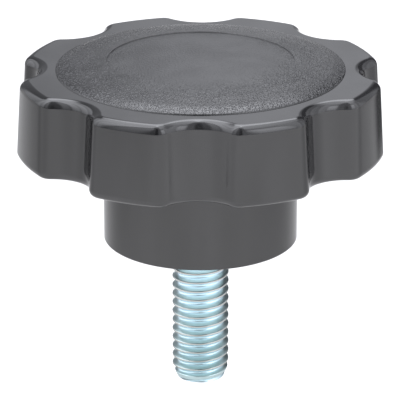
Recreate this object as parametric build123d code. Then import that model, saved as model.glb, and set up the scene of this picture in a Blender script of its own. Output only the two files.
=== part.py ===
from build123d import *
import os
from math import radians, tan

# A moulded hand knob: an eight-lobed head on a round hub, with a steel stud moulded into it.
# Millimetres. The origin is on the stud's axis, in the flat underside of the hub. +Z points at the head.

# Head. The mould's draft narrows it upwards, so it is widest at its underside.
lobe_count = 8
head_diameter = 61.8
head_height = 13.5
draft_angle = 3.1
flute_radius = 6.2
flute_depth = 3.45
lobe_corner_radius = 2.6
rim_radius = 1.5
head_underside_radius = 1.2

# Face of the head. A grained dome, a nearly flat crown inside a steeper shoulder, stands a small step above
# the rim. It has a shallow round recess in its middle.
dome_diameter = 47.8
dome_step = 0.07
crown_rise = 1.31
shoulder_rise = 0.78
shoulder_width = 2.5
recess_diameter = 31.0
recess_depth = 0.15

# Hub
hub_diameter = 32.5
hub_height = 16.0
hub_edge_radius = 0.3
hub_root_radius = 1.0

# Stud. A 3/8 inch thread, drawn at its crests, reaches 1 inch out of the hub and ends in a chamfered tip.
thread_diameter = 9.525
stud_reach = 25.4
tip_diameter = 8.0
tip_chamfer_length = 2.0

# Hidden end of the stud. A plain collar, a little wider than the thread, closes the mould round it, and a
# hexagonal head keeps the stud from turning and from pulling out.
collar_diameter = 10.0
anchor_across_flats = 14.3
anchor_height = 6.0
anchor_depth = 9.5
anchor_corner_angle = 30.0

# Places that follow from the sizes above
head_radius = head_diameter / 2
rim_level = hub_height + head_height
dome_foot = rim_level + dome_step
shoulder_top = dome_foot + shoulder_rise
dome_top = shoulder_top + crown_rise
dome_root = rim_level - recess_depth
draft_inset = head_height * tan(radians(draft_angle))

# How solids are placed and edges are picked
up_from_base = (Align.CENTER, Align.CENTER, Align.MIN)
same_size = 1e-4


def circles(shape, radius, level):
    """The shape's round edges of this radius at this height."""
    round_edges = shape.edges().filter_by(GeomType.CIRCLE)
    return round_edges.filter_by(
        lambda edge: abs(edge.radius - radius) < same_size and abs(edge.arc_center.Z - level) < same_size
    )


def runs_full_height(edge):
    """True for the upright edges, where the flutes cut through the lobes' outer faces."""
    return edge.bounding_box().size.Z > 0.9 * head_height


def fluted_head():
    """The drafted lobes and flutes, with every edge of their outline rounded."""
    blank = Cone(head_radius, head_radius - draft_inset, head_height, align=up_from_base)
    flute = Cone(flute_radius, flute_radius + draft_inset, head_height, align=up_from_base)
    flute_circle_radius = head_radius - flute_depth + flute_radius
    head = blank - PolarLocations(flute_circle_radius, lobe_count) * flute
    head = fillet(head.edges().filter_by(runs_full_height), lobe_corner_radius)
    head = fillet(head.faces().sort_by(Axis.Z)[-1].edges(), rim_radius)
    head = fillet(head.faces().sort_by(Axis.Z)[0].edges(), head_underside_radius)
    return Pos(0, 0, hub_height) * head


def domed_disc():
    """The raised face before its recess, rooted a little way down in the head."""
    edge_radius = dome_diameter / 2
    crown = TangentArc((0, dome_top), (edge_radius - shoulder_width, shoulder_top), tangent=(1, 0))
    shoulder = TangentArc(crown @ 1, (edge_radius, dome_foot), tangent=crown % 1)
    sides = Polyline((edge_radius, dome_foot), (edge_radius, dome_root), (0, dome_root), (0, dome_top))
    return revolve(Plane.XZ * make_face([crown, shoulder, sides]), Axis.Z)


def dome():
    """The raised face, with a recess whose floor keeps the crown's curve at a constant depth."""
    raised = domed_disc()
    recess = Pos(0, 0, rim_level) * Cylinder(recess_diameter / 2, head_height, align=up_from_base)
    floor = Pos(0, 0, -recess_depth) * raised
    return raised - (recess - floor)


def hub():
    """The round boss under the head, with a crisp lower edge."""
    boss = Cylinder(hub_diameter / 2, hub_height, align=up_from_base)
    return fillet(circles(boss, hub_diameter / 2, 0), hub_edge_radius)


def threaded_stud():
    """One steel piece: the chamfered tip, the thread at its crests, and the collar and anchor above it."""
    tip_radius = tip_diameter / 2
    thread_radius = thread_diameter / 2
    collar_radius = collar_diameter / 2
    profile = Polyline(
        (0, -stud_reach),
        (tip_radius, -stud_reach),
        (thread_radius, tip_chamfer_length - stud_reach),
        (thread_radius, 0),
        (collar_radius, 0),
        (collar_radius, anchor_depth),
        (0, anchor_depth),
        close=True,
    )
    shank = revolve(Plane.XZ * make_face(profile), Axis.Z)
    return shank + anchor()


def anchor():
    """A hexagon whose upper corners are turned off at an angle, as on a bolt's head."""
    flat_radius = anchor_across_flats / 2
    hexagon = extrude(RegularPolygon(flat_radius, 6, major_radius=False), anchor_height)
    run_out = flat_radius + anchor_height / tan(radians(anchor_corner_angle))
    corner_cone = Cone(run_out, flat_radius, anchor_height, align=up_from_base)
    return Pos(0, 0, anchor_depth) * (hexagon & corner_cone)


def knob_body(stud):
    """The one-piece moulding, closed round the stud that was laid in its mould."""
    moulding = fluted_head() + hub()
    moulding = fillet(circles(moulding, hub_diameter / 2, hub_height), hub_root_radius)
    return moulding + dome() - stud


os.makedirs("parts", exist_ok=True)
stud = threaded_stud()
export_step(stud, "parts/threaded_stud.step")
export_step(knob_body(stud), "parts/knob_body.step")
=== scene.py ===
import bmesh
import bpy
from math import asin, atan2, cos, pi, radians, sin, sqrt, tan
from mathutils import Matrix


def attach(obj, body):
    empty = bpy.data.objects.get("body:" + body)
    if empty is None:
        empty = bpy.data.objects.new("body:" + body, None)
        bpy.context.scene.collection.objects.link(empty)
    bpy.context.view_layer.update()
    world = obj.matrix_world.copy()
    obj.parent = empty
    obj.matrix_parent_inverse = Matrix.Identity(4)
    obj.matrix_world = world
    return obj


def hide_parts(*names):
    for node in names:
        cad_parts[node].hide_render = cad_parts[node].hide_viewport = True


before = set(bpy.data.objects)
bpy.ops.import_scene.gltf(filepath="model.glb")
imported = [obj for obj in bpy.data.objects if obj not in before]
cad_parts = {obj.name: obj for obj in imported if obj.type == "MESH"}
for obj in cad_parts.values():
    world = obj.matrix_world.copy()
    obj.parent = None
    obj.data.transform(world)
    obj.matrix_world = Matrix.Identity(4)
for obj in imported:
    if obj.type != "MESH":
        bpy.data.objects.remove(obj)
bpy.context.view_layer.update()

MM = 0.001

# The moulding's sizes, as in the CAD part
LOBES = 8
HEAD_RADIUS = 30.9 * MM
HEAD_HEIGHT = 13.5 * MM
DRAFT_SLOPE = tan(radians(3.1))
FLUTE_RADIUS = 6.2 * MM
FLUTE_DEPTH = 3.45 * MM
LOBE_CORNER = 2.6 * MM
RIM_ROUND = 1.5 * MM
UNDERSIDE_ROUND = 1.2 * MM
DOME_RADIUS = 23.9 * MM
DOME_STEP = 0.07 * MM
CROWN_RISE = 1.31 * MM
SHOULDER_RISE = 0.78 * MM
SHOULDER_WIDTH = 2.5 * MM
RECESS_RADIUS = 15.5 * MM
RECESS_DEPTH = 0.15 * MM
HUB_RADIUS = 16.25 * MM
HUB_HEIGHT = 16.0 * MM
HUB_EDGE = 0.3 * MM
HUB_ROOT = 1.0 * MM
RIM_LEVEL = HUB_HEIGHT + HEAD_HEIGHT
DOME_FOOT = RIM_LEVEL + DOME_STEP
DOME_TOP = DOME_FOOT + SHOULDER_RISE + CROWN_RISE
CROWN_RADIUS = DOME_RADIUS - SHOULDER_WIDTH
CROWN_CURVE = (CROWN_RADIUS**2 + CROWN_RISE**2) / (2 * CROWN_RISE)

# The stud's sizes, and its thread's: a 60 degree thread with 16 turns to the inch
THREAD_RADIUS = 4.7625 * MM
THREAD_PITCH = 1.5875 * MM
THREAD_DEPTH = 0.58 * THREAD_PITCH
CREST_FLAT = THREAD_PITCH / 8
STUD_REACH = 25.4 * MM
TIP_RADIUS = 4.0 * MM
TIP_CHAMFER = 2.0 * MM
COLLAR_RADIUS = 5.0 * MM
ANCHOR_FLAT = 7.15 * MM
ANCHOR_DEPTH = 9.5 * MM
ANCHOR_HEIGHT = 6.0 * MM
ANCHOR_CORNER_SLOPE = tan(radians(30))

# Where a flat meets a round, one more ring this far from it keeps the flat's shading flat
HOLD = 0.05 * MM
CRISP = 0.015 * MM

# Rows of the stud's mesh in one turn of the thread, columns round it, and where the thread starts, in turns
THREAD_STEPS = 24
STUD_COLUMNS = 96
THREAD_START = 9.5 / THREAD_STEPS

# The plastic's index of refraction
PLASTIC_IOR = 1.6

# The floor, which lies well below the stud's tip, and its colour where the picture shows it
FLOOR_DROP = 60 * MM
FLOOR_REACH = 3.0
FLOOR_SHOWN = (0.66, 0.65, 0.63, 1)

# What the knob mirrors of the floor: its colour, and how light it is in front of the knob and behind it.
# Under and behind the knob it is painted darker, as painted shade for the knob's shadow and a dimmer studio.
FLOOR_MIRRORED = (1.0, 0.985, 0.955, 1)
FLOOR_FRONT = 0.88
FLOOR_BACK = 0.47

# Dark patches painted on the floor far behind the knob, as painted shade that the knob mirrors: where they
# begin and are full, azimuth with half a width and a softness, and how dark they are. Azimuths are degrees
# from straight behind the knob, to the right.
PAINTED_DARK_PATCHES = (
    ((290 * MM, 350 * MM), (28, 17, 5), 0.86),
    ((420 * MM, 550 * MM), (-28, 9, 5), 0.65),
)

# Soft boxes: azimuth and elevation in degrees, each with half a width and a softness, and the strength at the
# bottom and at the top
SOFT_BOXES = (
    ((-46, 70, 14), (72, 19, 10), 4.0, 4.2),
    ((2, 14, 8), (80, 18, 8), 7.0, 7.0),
    ((85, 60, 16), (72, 20, 14), 2.6, 3.4),
    ((180, 60, 15), (90, 14, 8), 1.8, 1.8),
    ((-180, 60, 15), (90, 14, 8), 1.8, 1.8),
    ((-134, 14, 8), (36, 40, 14), 1.0, 2.1),
    ((-103, 16, 8), (42, 44, 12), 1.7, 5.0),
    ((-74, 16, 8), (30, 60, 10), 0.9, 4.2),
    ((-50, 10, 5), (30, 60, 10), 0.6, 2.8),
    ((-24, 18, 3), (15, 35, 8), 0.24, 0.36),
    ((13, 7, 3), (8, 22, 8), 0.5, 0.3),
    ((52, 14, 5), (15, 50, 10), 0.55, 0.65),
    ((76, 18, 6), (18, 60, 25), 1.0, 1.2),
    ((104, 16, 8), (32, 44, 14), 1.7, 2.3),
    ((132, 16, 8), (24, 26, 14), 2.4, 3.9),
    ((157, 12, 5), (40, 46, 10), 0.9, 0.7),
    ((-157, 12, 5), (45, 48, 10), 0.35, 0.7),
)

# The studio where no soft box or wall shines, and the colour of its light
UNLIT = 0.06
LIGHT_COLOUR = (0.965, 0.98, 1.04, 1)

# The camera, from a fit to the outlines in the photograph: millimetres of lens, metres and radians
LENS = 273.1
CAMERA_PLACE = (4.2 * MM, -476.0 * MM, 185.45 * MM)
CAMERA_TURN = (pi / 2 - 0.360, 0.0, 0.009)


class Field:
    """A socket in a node tree. Sums written on it add the nodes that work them out."""

    def __init__(self, nodes, socket):
        self.nodes = nodes
        self.socket = socket

    def math(self, operation, *others):
        return self.nodes.math(operation, self, *others)

    def __add__(self, other):
        return self.math("ADD", other)

    def __radd__(self, other):
        return self.math("ADD", other)

    def __sub__(self, other):
        return self.math("SUBTRACT", other)

    def __rsub__(self, other):
        return self.nodes.math("SUBTRACT", other, self)

    def __mul__(self, other):
        return self.math("MULTIPLY", other)

    def __rmul__(self, other):
        return self.math("MULTIPLY", other)

    def __truediv__(self, other):
        return self.math("DIVIDE", other)

    def __rtruediv__(self, other):
        return self.nodes.math("DIVIDE", other, self)

    def __mod__(self, other):
        return self.math("FLOORED_MODULO", other)

    def __gt__(self, other):
        return self.math("GREATER_THAN", other)

    def __lt__(self, other):
        return self.math("LESS_THAN", other)

    def part(self, name):
        """Another output of the node that this field comes from."""
        return Field(self.nodes, self.socket.node.outputs[name])

    def axes(self):
        """This vector's X, Y and Z."""
        parts = self.nodes.add("ShaderNodeSeparateXYZ", {}, {"Vector": self})
        return parts.part("X"), parts.part("Y"), parts.part("Z")


class Nodes:
    """Adds nodes to one tree."""

    def __init__(self, tree):
        self.tree = tree

    def add(self, kind, settings=None, sockets=None, output=0):
        """One node: its settings, then the values or fields of its sockets, and the output that is wanted."""
        node = self.tree.nodes.new(kind)
        for name, value in (settings or {}).items():
            setattr(node, name, value)
        for name, value in (sockets or {}).items():
            if isinstance(value, Field):
                self.tree.links.new(value.socket, node.inputs[name])
            else:
                node.inputs[name].default_value = value
        return Field(self, node.outputs[output]) if node.outputs else node

    def math(self, operation, *values):
        return self.add("ShaderNodeMath", {"operation": operation}, dict(enumerate(values)))

    def mix(self, factor, low, high):
        """A number that goes from low to high as the factor goes from 0 to 1."""
        return self.add("ShaderNodeMix", {"data_type": "FLOAT"}, {0: factor, 2: low, 3: high})

    def blend(self, factor, low, high):
        """A colour that goes from low to high as the factor goes from 0 to 1."""
        return self.add("ShaderNodeMix", {"data_type": "RGBA"}, {0: factor, 6: low, 7: high}, 2)

    def ramp(self, value, start, end):
        """0 below start, 1 above end, and an even slope with soft ends between them."""
        return self.add(
            "ShaderNodeMapRange",
            {"interpolation_type": "SMOOTHSTEP"},
            {"Value": value, "From Min": start, "From Max": end},
        )

    def window(self, value, centre, half, soft):
        """1 within half of the centre and 0 beyond, over a soft edge."""
        return 1 - self.ramp((value - centre).math("ABSOLUTE"), half - soft, half + soft)


# Outlines that the pieces are turned from. A point is a radius, a height, and numbers that are 0 or 1 and say
# whether the lobes, the thread, the hexagon or its turned corners shape it. The inset is how far it lies in
# from the lobes' outline.

def point(radius, height, lobed=0.0, inset=0.0):
    return {"radius": radius, "height": height, "lobed": lobed, "inset": inset}


def stud_point(radius, height, threaded=0.0, six_sided=0.0, corner=0.0):
    shares = {"threaded": threaded, "six_sided": six_sided, "corner": corner}
    return {"radius": radius, "height": height, **shares}


def between(start, end, share):
    return {key: start[key] + (end[key] - start[key]) * share for key in start}


def straight(start, end, parts=1):
    """Points from start to end, both held by a point close beside them."""
    length = max(abs(end["radius"] - start["radius"]), abs(end["height"] - start["height"]))
    length = max(length, abs(end["inset"] - start["inset"]))
    hold = min(HOLD / length, 0.25)
    shares = [0.0, hold] + [step / parts for step in range(1, parts)] + [1 - hold, 1.0]
    return [between(start, end, share) for share in shares]


def rounded(centre_radius, centre_height, radius, start_angle, end_angle, steps):
    """Points on a round section's arc, by angle from straight out, upwards positive."""
    points = []
    for step in range(steps + 1):
        angle = start_angle + (end_angle - start_angle) * step / steps
        points.append(point(centre_radius + radius * cos(angle), centre_height + radius * sin(angle)))
    return points


def lobed_round(edge_height, radius, start_angle, end_angle, steps):
    """Points on the round that runs along the lobes' outline at the top or the bottom of the head."""
    points = []
    for step in range(steps + 1):
        angle = start_angle + (end_angle - start_angle) * step / steps
        inset = radius * (1 - cos(angle))
        points.append(point(HEAD_RADIUS, edge_height + radius * sin(angle), 1.0, inset))
    return points


def crown_height(radius):
    return DOME_TOP - CROWN_CURVE + sqrt(CROWN_CURVE**2 - radius**2)


def crown_points(start, end, steps, lowered=0.0):
    points = []
    for step in range(steps + 1):
        radius = start + (end - start) * step / steps
        points.append(point(radius, crown_height(radius) - lowered))
    return points


def shoulder_points(steps):
    """The arc that carries the crown on down to the dome's foot, ever steeper."""
    crown_slope = asin(CROWN_RADIUS / CROWN_CURVE)
    foot_slope = 2 * atan2(SHOULDER_RISE, SHOULDER_WIDTH) - crown_slope
    curve = SHOULDER_WIDTH / (sin(foot_slope) - sin(crown_slope))
    centre_radius = CROWN_RADIUS - curve * sin(crown_slope)
    centre_height = crown_height(CROWN_RADIUS) - curve * cos(crown_slope)
    return rounded(centre_radius, centre_height, curve, pi / 2 - foot_slope, pi / 2 - crown_slope, steps)


def moulding_outline():
    """From the pocket that holds the stud's anchor, down the stud, out under the hub and up over the dome."""
    pocket_radius = ANCHOR_FLAT / cos(pi / 6)
    pocket_top = ANCHOR_DEPTH + ANCHOR_HEIGHT
    outline = [point(0, pocket_top)]
    outline += straight(point(0.5 * MM, pocket_top), point(pocket_radius, pocket_top))
    outline += straight(point(pocket_radius, pocket_top), point(pocket_radius, ANCHOR_DEPTH))
    outline += straight(point(pocket_radius, ANCHOR_DEPTH), point(COLLAR_RADIUS, ANCHOR_DEPTH))
    outline += straight(point(COLLAR_RADIUS, ANCHOR_DEPTH), point(COLLAR_RADIUS, 0))
    outline += straight(point(COLLAR_RADIUS, 0), point(HUB_RADIUS - HUB_EDGE, 0))
    outline += rounded(HUB_RADIUS - HUB_EDGE, HUB_EDGE, HUB_EDGE, -pi / 2, 0, 5)
    outline += straight(point(HUB_RADIUS, HUB_EDGE), point(HUB_RADIUS, HUB_HEIGHT - HUB_ROOT), 6)
    outline += rounded(HUB_RADIUS + HUB_ROOT, HUB_HEIGHT - HUB_ROOT, HUB_ROOT, pi, pi / 2, 6)
    outline += straight(
        point(HUB_RADIUS + HUB_ROOT, HUB_HEIGHT), point(HUB_RADIUS + 4 * HUB_ROOT, HUB_HEIGHT)
    )
    under = lobed_round(HUB_HEIGHT + UNDERSIDE_ROUND, UNDERSIDE_ROUND, -pi / 2, 0, 8)
    outline.append({**under[0], "inset": under[0]["inset"] + HOLD})
    outline += under
    over = lobed_round(RIM_LEVEL - RIM_ROUND, RIM_ROUND, 0, pi / 2, 10)
    outline += straight(under[-1], over[0], 6)
    outline += over
    outline.append({**over[-1], "inset": over[-1]["inset"] + HOLD})
    outline.append(point(DOME_RADIUS + 4 * HOLD, RIM_LEVEL))
    outline.append(point(DOME_RADIUS + CRISP, RIM_LEVEL))
    outline += [point(DOME_RADIUS, RIM_LEVEL), point(DOME_RADIUS, DOME_FOOT)]
    outline += shoulder_points(8)
    outline += crown_points(CROWN_RADIUS - 0.3 * MM, RECESS_RADIUS + CRISP, 6)
    outline.append(point(RECESS_RADIUS, crown_height(RECESS_RADIUS)))
    outline.append(point(RECESS_RADIUS, crown_height(RECESS_RADIUS) - RECESS_DEPTH))
    outline += crown_points(RECESS_RADIUS - CRISP, 0.5 * MM, 14, RECESS_DEPTH)
    outline.append(point(0, DOME_TOP - RECESS_DEPTH))
    return outline


def stud_outline():
    """From the middle of the tip, up the thread's turns, and over the collar and the anchor."""
    turns = STUD_REACH / THREAD_PITCH + 1
    outline = [
        stud_point(0, -STUD_REACH),
        stud_point(TIP_RADIUS * 0.5, -STUD_REACH),
        stud_point(TIP_RADIUS - HOLD, -STUD_REACH),
    ]
    for step in range(int(turns * THREAD_STEPS) + 2):
        height = -STUD_REACH - THREAD_PITCH + THREAD_PITCH * step / THREAD_STEPS
        outline.append(stud_point(THREAD_RADIUS, height, threaded=1.0))
    top = ANCHOR_DEPTH + ANCHOR_HEIGHT
    outline += [
        stud_point(COLLAR_RADIUS, 0),
        stud_point(COLLAR_RADIUS, ANCHOR_DEPTH),
        stud_point(ANCHOR_FLAT, ANCHOR_DEPTH, six_sided=1.0),
        stud_point(ANCHOR_FLAT, top, six_sided=1.0, corner=1.0),
        stud_point(ANCHOR_FLAT, top),
        stud_point(0, top),
    ]
    return outline


def as_mesh(name, outline):
    """The outline as a chain of mesh points that carry its numbers."""
    mesh = bpy.data.meshes.new(name)
    places = [(item["radius"], 0, item["height"]) for item in outline]
    mesh.from_pydata(places, [(step, step + 1) for step in range(len(places) - 1)], [])
    for key in outline[0]:
        values = mesh.attributes.new(key, "FLOAT", "POINT")
        values.data.foreach_set("value", [item[key] for item in outline])
    return mesh


class Turning:
    """A node tree that turns an outline into a closed shell: one row a point, one column a step round it."""

    def __init__(self, name, inputs):
        self.tree = bpy.data.node_groups.new(name, "GeometryNodeTree")
        self.nodes = Nodes(self.tree)
        sockets = self.tree.interface
        sockets.new_socket("Outline", in_out="INPUT", socket_type="NodeSocketGeometry")
        self.values = inputs
        for label, value in inputs.items():
            kind = "NodeSocketInt" if isinstance(value, int) else "NodeSocketFloat"
            sockets.new_socket(label, in_out="INPUT", socket_type=kind)
        sockets.new_socket("Material", in_out="INPUT", socket_type="NodeSocketMaterial")
        sockets.new_socket("Piece", in_out="OUTPUT", socket_type="NodeSocketGeometry")
        self.entry = self.nodes.add("NodeGroupInput")
        self.outline = self.entry.part("Outline")

    def size(self, label):
        return self.entry.part(label)

    def lay_out(self, columns):
        """The grid, and for each of its points the row and the column."""
        rows = self.nodes.add(
            "GeometryNodeAttributeDomainSize",
            {"component": "MESH"},
            {"Geometry": self.outline},
            "Point Count",
        )
        self.grid = self.nodes.add(
            "GeometryNodeMeshGrid", {}, {"Vertices X": rows, "Vertices Y": columns + 1}, "Mesh"
        )
        index = self.nodes.add("GeometryNodeInputIndex")
        self.row = (index / (columns + 1)).math("FLOOR")
        self.column = index - self.row * (columns + 1)

    def number(self, key):
        """The outline's number of this name, in each point's row."""
        named = self.nodes.add(
            "GeometryNodeInputNamedAttribute", {"data_type": "FLOAT"}, {"Name": key}, "Attribute"
        )
        return self.nodes.add(
            "GeometryNodeSampleIndex",
            {"data_type": "FLOAT", "domain": "POINT"},
            {"Geometry": self.outline, "Value": named, "Index": self.row},
        )

    def close(self, radius, angle, height):
        """Puts the grid's points in place, and joins the ends and the poles."""
        add = self.nodes.add
        place = add(
            "ShaderNodeCombineXYZ",
            {},
            {"X": radius * angle.math("COSINE"), "Y": radius * angle.math("SINE"), "Z": height},
        )
        moved = add("GeometryNodeSetPosition", {}, {"Geometry": self.grid, "Position": place})
        joined = add("GeometryNodeMergeByDistance", {}, {"Geometry": moved, "Distance": 0.001 * MM})
        smooth = add("GeometryNodeSetShadeSmooth", {}, {"Geometry": joined, "Shade Smooth": True})
        real = add("GeometryNodeRealizeInstances", {}, {"Geometry": smooth})
        painted = add("GeometryNodeSetMaterial", {}, {"Geometry": real, "Material": self.size("Material")})
        add("NodeGroupOutput", {}, {"Piece": painted})

    def make(self, name, outline, material):
        """Runs the tree on an outline, and gives the outcome as a plain object."""
        source = bpy.data.objects.new(name + "_outline", as_mesh(name + "_outline", outline))
        bpy.context.collection.objects.link(source)
        modifier = source.modifiers.new(name, "NODES")
        modifier.node_group = self.tree
        values = {**self.values, "Material": material}
        for item in self.tree.interface.items_tree:
            if item.in_out == "INPUT" and item.name in values:
                modifier[item.identifier] = values[item.name]
        seen = source.evaluated_get(bpy.context.evaluated_depsgraph_get())
        mesh = bpy.data.meshes.new_from_object(seen)
        bpy.data.objects.remove(source)
        mesh.name = name
        shell = bmesh.new()
        shell.from_mesh(mesh)
        bmesh.ops.recalc_face_normals(shell, faces=shell.faces)
        shell.to_mesh(mesh)
        shell.free()
        piece = bpy.data.objects.new(name, mesh)
        bpy.context.collection.objects.link(piece)
        return piece


def lobed_turning():
    """The moulding's tree. Half a lobe is three arcs: half a flute, the lobe's corner and half its face."""
    turning = Turning(
        "lobed_moulding",
        {
            "Lobes": LOBES,
            "Flute steps": 14,
            "Corner steps": 8,
            "Face steps": 9,
            "Head radius": HEAD_RADIUS,
            "Flute radius": FLUTE_RADIUS,
            "Flute depth": FLUTE_DEPTH,
            "Lobe corner": LOBE_CORNER,
            "Draft slope": DRAFT_SLOPE,
            "Head underside": HUB_HEIGHT,
            "Head height": HEAD_HEIGHT,
        },
    )
    nodes = turning.nodes
    flute_steps = turning.size("Flute steps")
    corner_steps = turning.size("Corner steps")
    face_steps = turning.size("Face steps")
    half = flute_steps + corner_steps + face_steps
    turning.lay_out(turning.size("Lobes") * half * 2)
    height = turning.number("height")
    inset = turning.number("inset")
    corner = turning.size("Lobe corner")

    # The draft moves the lobes' faces in and the flutes' walls out as the head rises
    above = (height - turning.size("Head underside")).math("MAXIMUM", 0.0)
    taper = above.math("MINIMUM", turning.size("Head height")) * turning.size("Draft slope")
    face_radius = turning.size("Head radius") - taper
    flute_radius = turning.size("Flute radius") + taper
    flute_centre = turning.size("Head radius") - turning.size("Flute depth") + turning.size("Flute radius")

    # The corner's centre, which is as far from the lobe's face as from the flute's wall
    reach = face_radius - corner
    gap = flute_radius + corner
    face_angle = (
        (flute_centre * flute_centre + reach * reach - gap * gap) / (2 * flute_centre * reach)
    ).math("ARCCOSINE")
    corner_x = reach * face_angle.math("COSINE")
    corner_y = reach * face_angle.math("SINE")
    flute_angle = corner_y.math("ARCTAN2", flute_centre - corner_x)

    # How far along each of the three arcs this column is
    lobe_step = turning.column % (half * 2)
    far_side = lobe_step > half
    step = nodes.mix(far_side, lobe_step, half * 2 - lobe_step)
    on_flute = (step / flute_steps).math("MINIMUM", 1.0)
    on_corner = ((step - flute_steps) / corner_steps).math("MINIMUM", 1.0)
    on_face = (step - flute_steps - corner_steps) / face_steps

    half_lobe = pi / turning.size("Lobes")
    flute_turn = flute_angle * on_flute
    flute_wall = flute_radius + inset
    corner_turn = nodes.mix(on_corner, 0.0 - flute_angle, face_angle)
    corner_radius = corner - inset
    face_turn = nodes.mix(on_face, face_angle, half_lobe)
    face = face_radius - inset
    past_flute = step > flute_steps
    past_corner = on_face > 0.0
    x = nodes.mix(
        past_corner,
        nodes.mix(
            past_flute,
            flute_centre - flute_wall * flute_turn.math("COSINE"),
            corner_x + corner_radius * corner_turn.math("COSINE"),
        ),
        face * face_turn.math("COSINE"),
    )
    y = nodes.mix(
        past_corner,
        nodes.mix(
            past_flute,
            flute_wall * flute_turn.math("SINE"),
            corner_y + corner_radius * corner_turn.math("SINE"),
        ),
        face * face_turn.math("SINE"),
    )
    outline_radius = (x * x + y * y).math("SQRT")
    turn = y.math("ARCTAN2", x)
    lobe = (turning.column / (half * 2)).math("FLOOR")
    angle = 2 * half_lobe * lobe + nodes.mix(far_side, turn, 2 * half_lobe - turn)
    radius = nodes.mix(turning.number("lobed"), turning.number("radius"), outline_radius)
    turning.close(radius, angle, height)
    return turning


def threaded_turning():
    """The stud's tree. The thread's rows climb one pitch in each turn, and stop at the tip and at the hub."""
    turning = Turning(
        "threaded_stud",
        {
            "Columns": STUD_COLUMNS,
            "Pitch": THREAD_PITCH,
            "Crest radius": THREAD_RADIUS,
            "Thread depth": THREAD_DEPTH,
            "Crest flat": CREST_FLAT,
            "Reach": STUD_REACH,
            "Tip radius": TIP_RADIUS,
            "Tip chamfer": TIP_CHAMFER,
            "Corner slope": ANCHOR_CORNER_SLOPE,
            "Thread start": THREAD_START,
        },
    )
    nodes = turning.nodes
    turning.lay_out(turning.size("Columns"))
    pitch = turning.size("Pitch")
    crest = turning.size("Crest radius")
    share = turning.column / turning.size("Columns")
    angle = share * (2 * pi)
    threaded = turning.number("threaded")
    row_height = turning.number("height")
    row_radius = turning.number("radius")

    # The thread's flanks stand at 30 degrees, its crest is flat and its root is round
    climbed = (row_height + pitch * share).math("MAXIMUM", 0.0 - turning.size("Reach")).math("MINIMUM", 0.0)
    turns = climbed / pitch - share - turning.size("Thread start")
    from_crest = (turns % 1.0 - 0.5).math("ABSOLUTE") * pitch
    flank = (from_crest - turning.size("Crest flat") / 2) / tan(radians(30))
    cut = nodes.math("SMOOTH_MAX", flank, 0.0, 0.06 * MM)
    cut = nodes.math("SMOOTH_MIN", cut, turning.size("Thread depth"), 0.45 * MM)
    tip_slope = (crest - turning.size("Tip radius")) / turning.size("Tip chamfer")
    chamfer = turning.size("Tip radius") + (climbed + turning.size("Reach")) * tip_slope
    thread_radius = (crest - cut).math("MINIMUM", chamfer)

    # The anchor is a hexagon whose corners are turned off at the top
    across = row_radius / nodes.math("COSINE", (share * 6 % 1.0 - 0.5) * (pi / 3))
    plain_radius = nodes.mix(turning.number("six_sided"), row_radius, across)
    dropped = turning.number("corner") * (across - row_radius) * turning.size("Corner slope")
    radius = nodes.mix(threaded, plain_radius, thread_radius)
    height = nodes.mix(threaded, row_height - dropped, climbed)
    turning.close(radius, angle, height)
    return turning


def start_material(name):
    """A new material, its empty tree, and the place on the piece."""
    material = bpy.data.materials.new(name)
    material.use_nodes = True
    material.node_tree.nodes.clear()
    nodes = Nodes(material.node_tree)
    return material, nodes, nodes.add("ShaderNodeTexCoord", output="Object")


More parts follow.
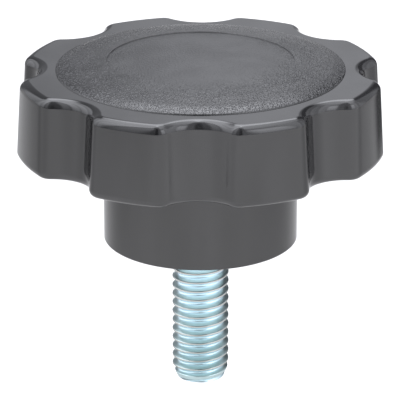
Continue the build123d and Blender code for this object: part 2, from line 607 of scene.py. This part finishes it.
def moulded_plastic():
    """Black plastic: a smooth, slightly wavy gloss on the rim, lobes and hub, and fine grain on the dome."""
    material, nodes, place = start_material("moulded_plastic")
    x, y, z = place.axes()
    radius = (x * x + y * y).math("SQRT")
    on_dome = (radius < DOME_RADIUS - 0.05 * MM) * (z > RIM_LEVEL + 0.05 * MM)

    # Relief. The grain is faint in the recess, and lower towards the dome's back and front.
    drawn = nodes.add("ShaderNodeMapping", {}, {"Vector": place, "Scale": (3300.0, 2100.0, 2600.0)})
    fine = {"Vector": drawn, "Scale": 1.0, "Detail": 1.0, "Roughness": 0.6}
    grain = nodes.add("ShaderNodeTexNoise", {}, fine)
    waves = nodes.add("ShaderNodeTexNoise", {}, {"Vector": place, "Scale": 160.0, "Detail": 3.0})
    cloud = nodes.add("ShaderNodeTexNoise", {}, {"Vector": place, "Scale": 60.0, "Detail": 4.0})
    fresh = nodes.ramp(radius, 0.7 * RECESS_RADIUS, 1.35 * RECESS_RADIUS)
    relief = nodes.mix(fresh, 0.015 * MM, 0.17 * MM) * (1 - 0.75 * nodes.ramp(y, 4 * MM, 17 * MM))
    relief = relief * (1 - 0.62 * nodes.ramp(0 - y, 6 * MM, 20 * MM))
    beads = nodes.ramp(grain, 0.44, 0.66)
    height = nodes.mix(on_dome, waves * (0.004 * MM), beads * relief)
    normal = nodes.add("ShaderNodeBump", {}, {"Height": height, "Strength": 1.0, "Distance": 1.0})

    # Colour and gloss. Off the dome, streaks from top to bottom are painted into the colour as sheen; the
    # dome's colour is cloudy, with paler beads painted on as glints.
    upright = nodes.add("ShaderNodeMapping", {}, {"Vector": place, "Scale": (110.0, 110.0, 18.0)})
    streaks = nodes.add("ShaderNodeTexNoise", {}, {"Vector": upright, "Scale": 1.0, "Detail": 3.0})
    # Painted sheen: off the dome the colour carries streaks from top to bottom, and on the dome it is cloudy
    # at random
    sheen_streaks_and_cloud = nodes.ramp(nodes.mix(on_dome, streaks, waves), 0.3, 0.7)
    tint = nodes.blend(sheen_streaks_and_cloud, (0.006, 0.006, 0.0065, 1), (0.018, 0.018, 0.019, 1))
    tint = nodes.blend(on_dome, tint, nodes.blend(sheen_streaks_and_cloud, (0.013, 0.013, 0.014, 1), (0.027, 0.027, 0.028, 1)))
    # Painted glints: the grain's beads outside the recess are painted paler, and fewer towards the back
    painted_glints = nodes.ramp(grain, 0.5, 0.68) * on_dome * fresh * (1 - 0.9 * nodes.ramp(y, 0.0, 14 * MM))
    tint = nodes.blend(painted_glints, tint, (0.05, 0.05, 0.053, 1))
    shine = nodes.mix(on_dome, 0.08 + 0.04 * cloud, nodes.mix(fresh, 0.3, 0.22) + 0.08 * grain)
    shader = nodes.add(
        "ShaderNodeBsdfPrincipled",
        {},
        {"Base Color": tint, "Roughness": shine, "Normal": normal, "IOR": PLASTIC_IOR},
    )
    nodes.add("ShaderNodeOutputMaterial", {}, {"Surface": shader})
    return material


def zinc_plating():
    """Blue-white zinc on steel: a little cloudy, greyest on the crests, and duller towards the tip. The roots
    are painted paler and bluer, and the upper turns lighter, as painted light that lifts the shade they get
    from the thread and the hub."""
    material, nodes, place = start_material("zinc_plating")
    x, y, z = place.axes()
    radius = (x * x + y * y).math("SQRT")
    # Painted light: the roots are painted paler and bluer, to lift their shade
    painted_root_light = 1 - nodes.ramp(radius, THREAD_RADIUS - 0.9 * THREAD_DEPTH, THREAD_RADIUS - 0.5 * THREAD_DEPTH)
    on_crest = nodes.ramp(radius, THREAD_RADIUS - 0.08 * MM, THREAD_RADIUS - 0.02 * MM)
    cloud = nodes.add("ShaderNodeTexNoise", {}, {"Vector": place, "Scale": 350.0, "Detail": 4.0})
    fine = nodes.add("ShaderNodeTexNoise", {}, {"Vector": place, "Scale": 3000.0, "Detail": 2.0})
    bright = nodes.blend(cloud, (0.43, 0.57, 0.61, 1), (0.50, 0.63, 0.64, 1))
    tint = nodes.blend(painted_root_light, bright, (0.58, 0.75, 0.82, 1))
    tint = nodes.blend(on_crest, tint, (0.44, 0.46, 0.44, 1))
    # Painted light: the upper turns are painted lighter to lift the shade the hub casts on them, and the tip
    # end is duller
    hub_painted_light = nodes.blend(nodes.ramp(z, -24 * MM, 0.0), (0.94, 0.93, 0.91, 1), (1.27, 1.19, 1.18, 1))
    tint = nodes.add("ShaderNodeVectorMath", {"operation": "MULTIPLY"}, {0: tint, 1: hub_painted_light})
    height = fine * (0.004 * MM)
    normal = nodes.add("ShaderNodeBump", {}, {"Height": height, "Strength": 1.0, "Distance": 1.0})
    shader = nodes.add(
        "ShaderNodeBsdfPrincipled",
        {},
        {"Base Color": tint, "Metallic": 1.0, "Roughness": 0.25 + 0.08 * cloud, "Normal": normal},
    )
    nodes.add("ShaderNodeOutputMaterial", {}, {"Surface": shader})
    return material


def pale_backdrop():
    """Pale floor, even in the camera's view and in the strip that lies behind the knob in the picture.

    What the knob mirrors of the rest is painted shade: darker towards the back and the sides, and darkest on
    painted dark patches."""
    material, nodes, place = start_material("pale_backdrop")
    x, y, _ = place.axes()
    azimuth = x.math("ARCTAN2", y) * (180 / pi)
    far = (x * x + y * y).math("SQRT")
    # Painted shade that only mirrors see: darker under and behind the knob
    level = nodes.mix(nodes.ramp(y, -160 * MM, 130 * MM), FLOOR_FRONT, FLOOR_BACK)
    # Painted shade on the left, and on the right in front, which the knob mirrors
    level = level * (1 - 0.18 * nodes.ramp(0 - x, 150 * MM, 400 * MM))
    level = level * (1 - 0.14 * nodes.ramp(x, 120 * MM, 300 * MM) * nodes.ramp(y, -200 * MM, -60 * MM))
    # Painted shade: dark patches on the floor that the knob mirrors
    for (begins, full), (across, wide, soft), dark in PAINTED_DARK_PATCHES:
        dark_patch = nodes.ramp(far, begins, full) * nodes.window(azimuth, across, wide, soft)
        level = level * (1 - dark * dark_patch)
    painted_floor_shade = nodes.blend(level, (0, 0, 0, 1), FLOOR_MIRRORED)
    rays = nodes.add("ShaderNodeLightPath")
    mirrored = rays.part("Is Glossy Ray").math("MAXIMUM", rays.part("Is Transmission Ray"))
    in_picture = nodes.window(x, 0, 75 * MM, 10 * MM) * nodes.ramp(y, 90 * MM, 120 * MM)
    seen = rays.part("Is Camera Ray").math("MAXIMUM", mirrored * in_picture)
    colour = nodes.blend(seen, painted_floor_shade, FLOOR_SHOWN)
    shader = nodes.add("ShaderNodeBsdfDiffuse", {}, {"Color": colour})
    nodes.add("ShaderNodeOutputMaterial", {}, {"Surface": shader})
    return material


def dress_part():
    body = lobed_turning().make("moulded_knob", moulding_outline(), moulded_plastic())
    stud = threaded_turning().make("plated_stud", stud_outline(), zinc_plating())
    for piece, node, slot in (
        (body, "knob_body", "black_plastic"),
        (stud, "threaded_stud", "zinc_plated_steel"),
    ):
        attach(piece, "root")
        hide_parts(node)


def lay_floor():
    mesh = bpy.data.meshes.new("floor")
    level = -STUD_REACH - FLOOR_DROP
    sides = ((-1, -1), (1, -1), (1, 1), (-1, 1))
    mesh.from_pydata([(x * FLOOR_REACH, y * FLOOR_REACH, level) for x, y in sides], [], [(0, 1, 2, 3)])
    floor = bpy.data.objects.new("floor", mesh)
    mesh.materials.append(pale_backdrop())
    bpy.context.collection.objects.link(floor)


def light_studio():
    """A ceiling of soft boxes, lower ones all round, and a white wall behind.

    The wall is a narrow strip that gets brighter and, above 34 degrees, wider as it rises. The camera sees
    plain white."""
    world = bpy.data.worlds.new("studio")
    world.use_nodes = True
    bpy.context.scene.world = world
    world.node_tree.nodes.clear()
    nodes = Nodes(world.node_tree)
    x, y, z = nodes.add("ShaderNodeTexCoord", output="Generated").axes()
    azimuth = x.math("ARCTAN2", y) * (180 / pi)
    elevation = z.math("ARCSINE") * (180 / pi)

    climb = elevation.math("MAXIMUM", 0.0).math("MINIMUM", 52.0)
    above = (climb - 28).math("MAXIMUM", 0.0)
    spread = 9 + 1.2 * (above - 6).math("MAXIMUM", 0.0)
    light = nodes.window(azimuth, 3, spread, 7) * (0.42 + 0.027 * climb + 0.0054 * above * above)
    light = light.math("MAXIMUM", UNLIT)
    for (across, wide, soft_wide), (up, tall, soft_tall), low, high in SOFT_BOXES:
        strength = nodes.mix(nodes.ramp(elevation, up - tall, up + tall), low, high)
        box = nodes.window(azimuth, across, wide, soft_wide) * nodes.window(elevation, up, tall, soft_tall)
        light = light.math("MAXIMUM", box * strength)
    seen = nodes.add("ShaderNodeLightPath", output="Is Camera Ray")
    strength = nodes.mix(seen, light, 1.0)
    colour = nodes.blend(seen, LIGHT_COLOUR, (1, 1, 1, 1))
    glow = nodes.add("ShaderNodeBackground", {}, {"Color": colour, "Strength": strength})
    nodes.add("ShaderNodeOutputWorld", {}, {"Surface": glow})


def place_camera():
    lens = bpy.data.cameras.new("camera")
    lens.sensor_width = 36.0
    lens.lens = LENS
    camera = bpy.data.objects.new("camera", lens)
    camera.location = CAMERA_PLACE
    camera.rotation_euler = CAMERA_TURN
    bpy.context.collection.objects.link(camera)
    bpy.context.scene.camera = camera


dress_part()
lay_floor()
light_studio()
place_camera()
bpy.context.scene.view_settings.view_transform = "Standard"
